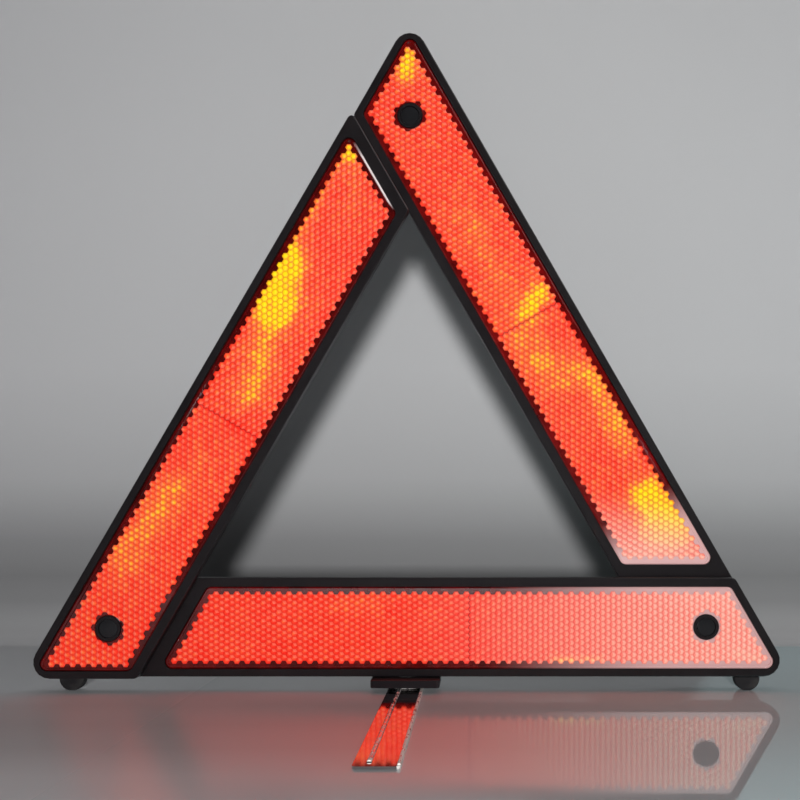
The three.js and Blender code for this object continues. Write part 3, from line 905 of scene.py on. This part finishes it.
def floor_material():
    """Pale floor with painted brightness along y and painted lighter towards +X, that mirrors more, and more
    sharply, towards +X.
    """
    n = Nodes("pale_floor")
    x, y, _ = n.place_parts()
    # Painted brightness along y, and painted lighter towards +X below.
    shaded_tone = n.mix(1.0, clouded(n, FLOOR_COLOR), greys(n, n.span(y, *FLOOR_SPAN), FLOOR_PAINTED_SHADING), "MULTIPLY")
    diffuse = n.add("ShaderNodeBsdfDiffuse")
    n.link(n.mix(n.span(x, *RIGHT_SPAN), shaded_tone, FLOOR_PAINTED_LIGHT_RIGHT), diffuse.inputs["Color"])
    mirror = n.add("ShaderNodeBsdfGlossy")
    n.link(n.span(x, *MIRROR_SPAN, *MIRROR_ROUGHNESS), mirror.inputs["Roughness"])
    n.link(n.ramp(n.span(x, *MIRROR_SPAN), MIRROR_TINTS), mirror.inputs["Color"])
    both = n.add("ShaderNodeMixShader")
    n.link(n.span(x, *SHARE_SPAN, *MIRROR_SHARE), both.inputs["Fac"])
    n.link(diffuse.outputs["BSDF"], both.inputs[1])
    n.link(mirror.outputs["BSDF"], both.inputs[2])
    return one_sided(n, both.outputs["Shader"])


def swept_sheet(name, profile, material):
    """A sheet whose section in y and z is the profile, facing forwards and up."""
    verts = [(x, y, z) for y, z in profile for x in (-STAGE_HALF, STAGE_HALF)]
    faces = [(2 * i, 2 * i + 1, 2 * i + 3, 2 * i + 2) for i in range(len(profile) - 1)]
    mesh = bpy.data.meshes.new(name)
    mesh.from_pydata(verts, [], faces)
    for polygon in mesh.polygons:
        polygon.use_smooth = True
    mesh.materials.append(material)
    sheet = bpy.data.objects.new(name, mesh)
    bpy.context.scene.collection.objects.link(sheet)


def build_stage():
    """A floor, and a wall that bends up from it."""
    angles = (math.pi / 2 * k / BEND_STEPS for k in range(BEND_STEPS + 1))
    start = WALL_DISTANCE - WALL_BEND
    bend = [(start + WALL_BEND * math.sin(a), WALL_BEND * (1 - math.cos(a))) for a in angles]
    swept_sheet("studio_floor", [(FLOOR_FRONT, 0.0), bend[0]], floor_material())
    swept_sheet("studio_wall", bend + [(WALL_DISTANCE, WALL_HEIGHT)], wall_material())


def area_light(name, place, target, size, power):
    data = bpy.data.lights.new(name, "AREA")
    data.shape = "RECTANGLE"
    data.size, data.size_y = size
    data.energy = power
    lamp = bpy.data.objects.new(name, data)
    lamp.location = place
    lamp.rotation_euler = (Vector(target) - Vector(place)).to_track_quat("-Z", "Y").to_euler()
    bpy.context.scene.collection.objects.link(lamp)
    return lamp


def light_air():
    world = bpy.data.worlds.new("studio_air")
    world.use_nodes = True
    background = world.node_tree.nodes["Background"]
    background.inputs["Color"].default_value = (*AIR_COLOR, 1)
    background.inputs["Strength"].default_value = AIR_STRENGTH
    bpy.context.scene.world = world


def light_studio():
    """A small hard key near the camera, glints from the right, and soft light from above and behind."""
    light_air()
    key_place = Vector(KEY_PLACE) + Vector((0, BASE_FRONT, 0))
    key = area_light("front_key", key_place, STAGE_MIDDLE, KEY_SIZE, KEY_POWER)
    key.visible_glossy = False
    glint = area_light("glint_right", *GLINT)
    glint.visible_diffuse = False
    area_light("top_soft", *TOP_SOFT)
    area_light("back_soft", *BACK_SOFT)


def place_camera():
    data = bpy.data.cameras.new("camera")
    data.sensor_width = SENSOR
    data.lens = SENSOR * CAMERA_DISTANCE / VIEW_WIDTH
    data.shift_x, data.shift_y = CAMERA_SHIFT
    camera = bpy.data.objects.new("camera", data)
    camera.location = (CAMERA_X, BASE_FRONT - CAMERA_DISTANCE, CAMERA_Z)
    camera.rotation_euler = (math.pi / 2, 0, 0)
    bpy.context.scene.collection.objects.link(camera)
    bpy.context.scene.camera = camera


bpy.context.scene.view_settings.view_transform = "Standard"
place_camera()
paint_cad_nodes()
build_reflectors()
build_stage()
light_studio()
